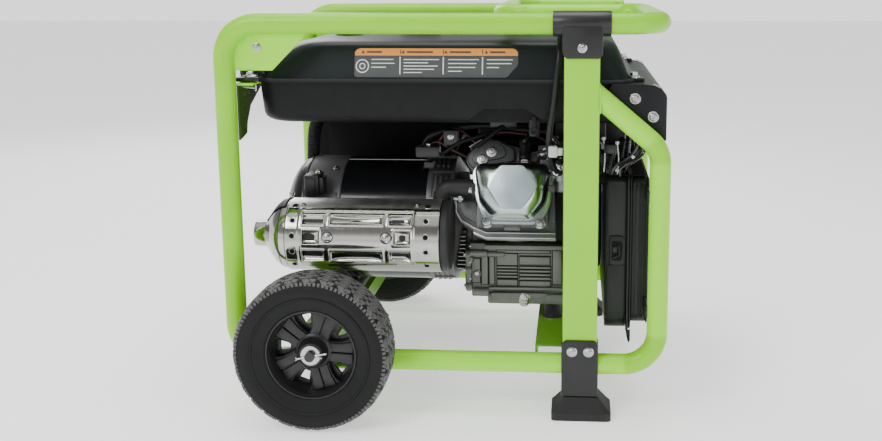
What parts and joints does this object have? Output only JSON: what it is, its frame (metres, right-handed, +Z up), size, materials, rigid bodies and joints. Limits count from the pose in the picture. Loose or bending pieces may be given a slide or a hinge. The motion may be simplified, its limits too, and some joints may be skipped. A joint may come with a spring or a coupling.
{
  "type": "portable generator",
  "caption": "Petrol generator in a tubular frame on two wheels, with a fold-over tow handle, overhead-valve engine, alternator, fuel tank and socket panel.",
  "frame": {"origin": "centre of the overall box at floor level, under the wheels and feet", "axes": "+X towards the socket panel end, -Y towards the muffler and valve cover side, +Z up"},
  "size_m": [0.734, 0.724, 0.676],
  "materials": {
    "lime_paint": "gloss powder coat",
    "black_paint": "satin paint",
    "dark_casting": "satin painted casting",
    "bare_casting": "as cast",
    "bright_steel": "zinc plated",
    "polished_steel": "polished",
    "black_plastic": "moulded",
    "rubber": "matt",
    "tyre": "matt",
    "copper_iron": "varnished",
    "iron": "machined",
    "ceramic": "glazed",
    "red_plastic": "moulded"
  },
  "bodies": {
    "frame": {"frame_hoop": "lime_paint", "lower_tubes": "lime_paint", "frame_posts": "lime_paint", "crossmembers": "lime_paint", "corner_gussets": "lime_paint", "tank_brackets": "lime_paint", "post_brackets": "black_paint", "rubber_feet": "rubber", "frame_bolts": "bright_steel", "axle": "bright_steel", "wheel_retainers": "bright_steel", "crankcase": "dark_casting", "crankcase_cover": "dark_casting", "cylinder_head": "dark_casting", "valve_cover": "polished_steel", "head_shroud": "dark_casting", "piston_and_rod": "iron", "fan_housing": "black_plastic", "recoil_cover": "black_plastic", "oil_plugs": "bright_steel", "spark_plug": "ceramic", "plug_lead": "rubber", "carburettor": "bare_casting", "air_cleaner": "black_plastic", "exhaust_elbow": "black_paint", "muffler_body": "black_paint", "muffler_shield": "polished_steel", "rubber_mounts": "rubber", "starter_motor": "black_paint", "stator": "black_paint", "alternator_brackets": "bare_casting", "end_cover": "black_paint", "tank_top": "black_paint", "tank_bottom": "black_paint", "vent_hose": "rubber", "panel_hood": "black_paint", "panel_box": "black_paint", "panel_face": "black_plastic", "socket_outlets": "black_plastic", "inverter_module": "black_plastic", "battery": "black_plastic", "wiring_loom": "rubber"},
    "near_wheel": {"near_rim": "black_plastic", "near_tyre": "tyre"},
    "far_wheel": {"far_rim": "black_plastic", "far_tyre": "tyre"},
    "handle": {"tow_handle": "lime_paint"},
    "crank": {"crankshaft": "iron", "flywheel": "iron", "rotor": "copper_iron"},
    "cam": {"camshaft": "iron"},
    "starter_grip": {"recoil_grip": "black_plastic"},
    "cap": {"fuel_cap": "black_plastic"},
    "fuel_lever": {"fuel_valve": "black_plastic"},
    "choke": {"choke_lever": "black_plastic"},
    "left_flap": {"left_outlet_flap": "black_plastic"},
    "right_flap": {"right_outlet_flap": "black_plastic"},
    "breaker": {"main_breaker": "black_plastic"},
    "key": {"key_switch": "bright_steel"},
    "reset": {"reset_button": "red_plastic"}
  },
  "joints": [
    {"name": "near_wheel_spin", "type": "hinge", "parent": "frame", "child": "near_wheel", "pos_m": [-0.202, -0.324, 0.127], "axis": [0, 1, 0], "continuous": true},
    {"name": "far_wheel_spin", "type": "hinge", "parent": "frame", "child": "far_wheel", "pos_m": [-0.202, 0.324, 0.127], "axis": [0, 1, 0], "continuous": true},
    {"name": "handle_fold", "type": "hinge", "parent": "frame", "child": "handle", "pos_m": [0.295, 0, 0.661], "axis": [0, 1, 0], "range_deg": [0, 156]},
    {"name": "crank_spin", "type": "hinge", "parent": "frame", "child": "crank", "pos_m": [0.109, 0, 0.27], "axis": [1, 0, 0], "continuous": true},
    {"name": "cam_spin", "type": "hinge", "parent": "frame", "child": "cam", "pos_m": [0.109, 0.06, 0.225], "axis": [1, 0, 0], "continuous": true},
    {"name": "starter_pull", "type": "slide", "parent": "frame", "child": "starter_grip", "axis": [0, 1, 0], "range_m": [0, 0.5]},
    {"name": "cap_twist", "type": "hinge", "parent": "frame", "child": "cap", "pos_m": [-0.07, 0, 0.628], "axis": [0, 0, 1], "range_deg": [0, 90]},
    {"name": "fuel_lever_turn", "type": "hinge", "parent": "frame", "child": "fuel_lever", "pos_m": [0.146, -0.203, 0.468], "axis": [0, -1, 0], "range_deg": [0, 90]},
    {"name": "choke_turn", "type": "hinge", "parent": "frame", "child": "choke", "pos_m": [0.189, -0.14, 0.408], "axis": [0, 0, -1], "range_deg": [0, 45]},
    {"name": "left_flap_lift", "type": "hinge", "parent": "frame", "child": "left_flap", "pos_m": [0.343, -0.112, 0.356], "axis": [0, -1, 0], "range_deg": [0, 110]},
    {"name": "right_flap_lift", "type": "hinge", "parent": "frame", "child": "right_flap", "pos_m": [0.343, 0.098, 0.356], "axis": [0, -1, 0], "range_deg": [0, 110]},
    {"name": "breaker_rock", "type": "hinge", "parent": "frame", "child": "breaker", "pos_m": [0.351, -0.015, 0.497], "axis": [0, 1, 0], "range_deg": [-12, 12]},
    {"name": "key_turn", "type": "hinge", "parent": "frame", "child": "key", "pos_m": [0.36, 0.09, 0.497], "axis": [1, 0, 0], "range_deg": [0, 90]},
    {"name": "reset_push", "type": "slide", "parent": "frame", "child": "reset", "axis": [-1, 0, 0], "range_m": [0, 0.003]}
  ],
  "couplings": [
    {"joint": "cam_spin", "follows": "crank_spin", "ratio": -0.5}
  ]
}
